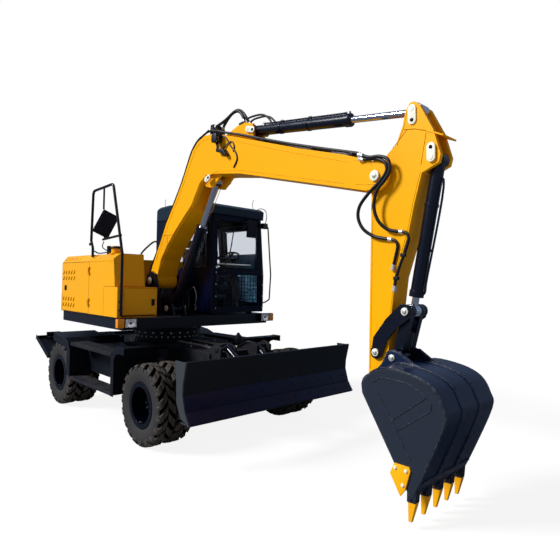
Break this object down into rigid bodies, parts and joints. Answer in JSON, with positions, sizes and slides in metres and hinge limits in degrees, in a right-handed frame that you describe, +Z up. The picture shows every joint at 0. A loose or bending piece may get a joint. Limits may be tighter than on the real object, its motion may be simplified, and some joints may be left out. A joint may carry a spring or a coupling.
{
  "type": "wheeled excavator",
  "caption": "Wheeled excavator with a slewing upper body, closed cab, bent boom, arm, toothed bucket, dozer blade and twin tyres on a steered and a fixed axle.",
  "frame": {"origin": "on the ground, at the middle of the whole machine's footprint box as it stands with the arm ahead", "axes": "+X forward, towards the blade and bucket; +Y to the machine's left, where the cab is; +Z up from the ground"},
  "size_m": [6.4617, 2.4166, 3.7773],
  "materials": {
    "yellow_paint": "satin machine paint",
    "black_paint": "satin chassis paint",
    "cab_paint": "satin cab paint",
    "bucket_paint": "worn satin paint",
    "blade_paint": "satin paint",
    "tyre": "matte",
    "rim_paint": "gloss rim paint",
    "rod_chrome": "polished",
    "tooth_paint": "painted cast steel",
    "cast": "painted casting",
    "window": "clear",
    "seat_fabric": "woven",
    "plastic": "grained",
    "lamp": "clear and amber lens",
    "grille_steel": "satin paint"
  },
  "bodies": {
    "chassis": {"chassis_frame": "black_paint", "slew_ring": "cast", "front_axle": "cast", "rear_axle": "cast", "driveline": "cast", "fenders": "black_paint", "steps": "black_paint", "side_boxes": "black_paint", "rear_guard": "black_paint"},
    "knuckle_left": {"knuckle_left": "cast"},
    "knuckle_right": {"knuckle_right": "cast"},
    "wheel_front_left": {"tyres_front_left": "tyre", "rims_front_left": "rim_paint"},
    "wheel_front_right": {"tyres_front_right": "tyre", "rims_front_right": "rim_paint"},
    "wheel_rear_left": {"tyres_rear_left": "tyre", "rims_rear_left": "rim_paint"},
    "wheel_rear_right": {"tyres_rear_right": "tyre", "rims_rear_right": "rim_paint"},
    "blade_arms": {"blade_arms": "black_paint"},
    "blade_links": {"blade_links": "black_paint"},
    "blade": {"blade": "blade_paint"},
    "blade_cylinder_barrels": {"blade_cylinder_barrels": "black_paint"},
    "blade_cylinder_rods": {"blade_cylinder_rods": "rod_chrome"},
    "upper_body": {"upper_frame": "black_paint", "counterweight": "black_paint", "engine_block": "cast", "engine_cowl": "yellow_paint", "tank_housing": "yellow_paint", "tool_box": "yellow_paint", "cab_shell": "cab_paint", "cab_roof": "cab_paint", "cab_glass": "window", "window_guard": "grille_steel", "seat": "seat_fabric", "console": "plastic", "handrail": "black_paint", "mirrors": "plastic", "cab_rail": "black_paint", "lamps": "lamp", "exhaust": "black_paint"},
    "hood": {"hood": "yellow_paint"},
    "service_door_right": {"service_door_right": "yellow_paint"},
    "service_door_left": {"service_door_left": "yellow_paint"},
    "tool_box_door": {"tool_box_door": "yellow_paint"},
    "cab_door": {"cab_door": "cab_paint", "cab_door_glass": "window"},
    "boom": {"boom": "yellow_paint", "boom_hoses": "plastic"},
    "boom_cylinder_barrel": {"boom_cylinder_barrel": "black_paint"},
    "boom_cylinder_rod": {"boom_cylinder_rod": "rod_chrome"},
    "arm": {"arm": "yellow_paint"},
    "arm_cylinder_barrel": {"arm_cylinder_barrel": "black_paint"},
    "arm_cylinder_rod": {"arm_cylinder_rod": "rod_chrome"},
    "rockers": {"rockers": "black_paint"},
    "bucket_link": {"bucket_link": "black_paint"},
    "bucket": {"bucket": "bucket_paint", "bucket_teeth": "tooth_paint"},
    "bucket_cylinder_barrel": {"bucket_cylinder_barrel": "black_paint"},
    "bucket_cylinder_rod": {"bucket_cylinder_rod": "rod_chrome"}
  },
  "joints": [
    {"name": "steer_right", "type": "hinge", "parent": "chassis", "child": "knuckle_right", "pos_m": [0.127, -0.69, 0.4325], "axis": [0, 0, 1], "range_deg": [-30, 30]},
    {"name": "steer_left", "type": "hinge", "parent": "chassis", "child": "knuckle_left", "pos_m": [0.127, 0.69, 0.4325], "axis": [0, 0, 1], "range_deg": [-30, 30]},
    {"name": "wheel_front_left_spin", "type": "hinge", "parent": "knuckle_left", "child": "wheel_front_left", "pos_m": [0.127, 0.9505, 0.4325], "axis": [0, 1, 0], "continuous": true},
    {"name": "wheel_front_right_spin", "type": "hinge", "parent": "knuckle_right", "child": "wheel_front_right", "pos_m": [0.127, -0.9505, 0.4325], "axis": [0, 1, 0], "continuous": true},
    {"name": "wheel_rear_left_spin", "type": "hinge", "parent": "chassis", "child": "wheel_rear_left", "pos_m": [-2.217, 0.9505, 0.4325], "axis": [0, 1, 0], "continuous": true},
    {"name": "wheel_rear_right_spin", "type": "hinge", "parent": "chassis", "child": "wheel_rear_right", "pos_m": [-2.217, -0.9505, 0.4325], "axis": [0, 1, 0], "continuous": true},
    {"name": "blade_lift", "type": "hinge", "parent": "chassis", "child": "blade_arms", "pos_m": [0.335, 0, 0.46], "axis": [0, -1, 0], "range_deg": [-45, 4]},
    {"name": "blade_link_lift", "type": "hinge", "parent": "chassis", "child": "blade_links", "pos_m": [0.335, 0, 0.59], "axis": [0, -1, 0], "range_deg": [-45.05, 4.05]},
    {"name": "blade_level", "type": "hinge", "parent": "blade_arms", "child": "blade", "pos_m": [0.90597, 0, 0.72625], "axis": [0, -1, 0], "range_deg": [-4.05, 45.05]},
    {"name": "blade_cylinder_swing", "type": "hinge", "parent": "chassis", "child": "blade_cylinder_barrels", "pos_m": [0.395, 0, 0.985], "axis": [0, -1, 0], "range_deg": [-24.41, 2.22]},
    {"name": "blade_cylinder_stroke", "type": "slide", "parent": "blade_cylinder_barrels", "child": "blade_cylinder_rods", "axis": [0.8464, 0, -0.5326], "range_m": [-0.0302, 0.3346]},
    {"name": "slew", "type": "hinge", "parent": "chassis", "child": "upper_body", "pos_m": [-1.285, 0, 1.09], "axis": [0, 0, 1], "continuous": true},
    {"name": "hood_lift", "type": "hinge", "parent": "upper_body", "child": "hood", "pos_m": [-2.2275, 0, 2.0655], "axis": [0, 1, 0], "range_deg": [0, 70]},
    {"name": "service_door_right_swing", "type": "hinge", "parent": "upper_body", "child": "service_door_right", "pos_m": [-1.3125, -1.1405, 1.65], "axis": [0, 0, 1], "range_deg": [0, 110]},
    {"name": "service_door_left_swing", "type": "hinge", "parent": "upper_body", "child": "service_door_left", "pos_m": [-2.0225, 1.1405, 1.65], "axis": [0, 0, -1], "range_deg": [0, 110]},
    {"name": "tool_box_door_swing", "type": "hinge", "parent": "upper_body", "child": "tool_box_door", "pos_m": [-0.4895, -1.0775, 1.49], "axis": [0, 0, -1], "range_deg": [0, 95]},
    {"name": "cab_door_swing", "type": "hinge", "parent": "upper_body", "child": "cab_door", "pos_m": [-1.4275, 1.1205, 1.64], "axis": [0, 0, 1], "range_deg": [0, 150]},
    {"name": "boom_lift", "type": "hinge", "parent": "upper_body", "child": "boom", "pos_m": [-1.165, -0.16, 1.74], "axis": [0, -1, 0], "range_deg": [-48, 45]},
    {"name": "boom_cylinder_swing", "type": "hinge", "parent": "upper_body", "child": "boom_cylinder_barrel", "pos_m": [-0.845, -0.16, 1.38], "axis": [0, -1, 0], "range_deg": [-44.34, 41.58]},
    {"name": "boom_cylinder_stroke", "type": "slide", "parent": "boom_cylinder_barrel", "child": "boom_cylinder_rod", "axis": [0.4866, 0, 0.8736], "range_m": [-0.3601, 0.3376]},
    {"name": "arm_swing", "type": "hinge", "parent": "boom", "child": "arm", "pos_m": [2.445, -0.16, 2.645], "axis": [0, 1, 0], "range_deg": [-54, 38]},
    {"name": "arm_cylinder_swing", "type": "hinge", "parent": "boom", "child": "arm_cylinder_barrel", "pos_m": [0.705, -0.16, 3.42], "axis": [0, 1, 0], "range_deg": [-4.4, 3.11]},
    {"name": "arm_cylinder_stroke", "type": "slide", "parent": "arm_cylinder_barrel", "child": "arm_cylinder_rod", "axis": [0.9908, 0, -0.1353], "range_m": [-0.495, 0.3485]},
    {"name": "bucket_curl", "type": "hinge", "parent": "arm", "child": "bucket", "pos_m": [2.47, -0.16, 0.975], "axis": [0, 1, 0], "range_deg": [-8, 118]},
    {"name": "rocker_swing", "type": "hinge", "parent": "arm", "child": "rockers", "pos_m": [2.465, -0.16, 1.19], "axis": [0, 1, 0], "range_deg": [-5.53, 80.87]},
    {"name": "bucket_link_swing", "type": "hinge", "parent": "rockers", "child": "bucket_link", "pos_m": [2.735, -0.16, 1.54], "axis": [0, 1, 0], "range_deg": [-49.06, 3.37]},
    {"name": "bucket_cylinder_swing", "type": "hinge", "parent": "arm", "child": "bucket_cylinder_barrel", "pos_m": [2.935, -0.16, 2.72], "axis": [0, 1, 0], "range_deg": [-9.48, 0.69]},
    {"name": "bucket_cylinder_stroke", "type": "slide", "parent": "bucket_cylinder_barrel", "child": "bucket_cylinder_rod", "axis": [-0.1671, 0, -0.9859], "range_m": [-0.0354, 0.5158]}
  ],
  "couplings": [
    {"joint": "steer_left", "follows": "steer_right", "ratio": 1},
    {"joint": "blade_link_lift", "follows": "blade_lift", "ratio": 1},
    {"joint": "blade_level", "follows": "blade_lift", "ratio": -1},
    {"joint": "blade_cylinder_swing", "follows": "blade_lift", "ratio": 0.5414},
    {"joint": "blade_cylinder_stroke", "follows": "blade_lift", "m_per_rad": -0.4254},
    {"joint": "boom_cylinder_swing", "follows": "boom_lift", "ratio": 0.9228},
    {"joint": "boom_cylinder_stroke", "follows": "boom_lift", "m_per_rad": 0.4292},
    {"joint": "arm_cylinder_swing", "follows": "arm_swing", "ratio": 0.0806},
    {"joint": "arm_cylinder_stroke", "follows": "arm_swing", "m_per_rad": 0.5247},
    {"joint": "rocker_swing", "follows": "bucket_curl", "ratio": 0.6849},
    {"joint": "bucket_link_swing", "follows": "bucket_curl", "ratio": -0.4153},
    {"joint": "bucket_cylinder_swing", "follows": "bucket_curl", "ratio": -0.0799},
    {"joint": "bucket_cylinder_stroke", "follows": "bucket_curl", "m_per_rad": 0.2502}
  ]
}
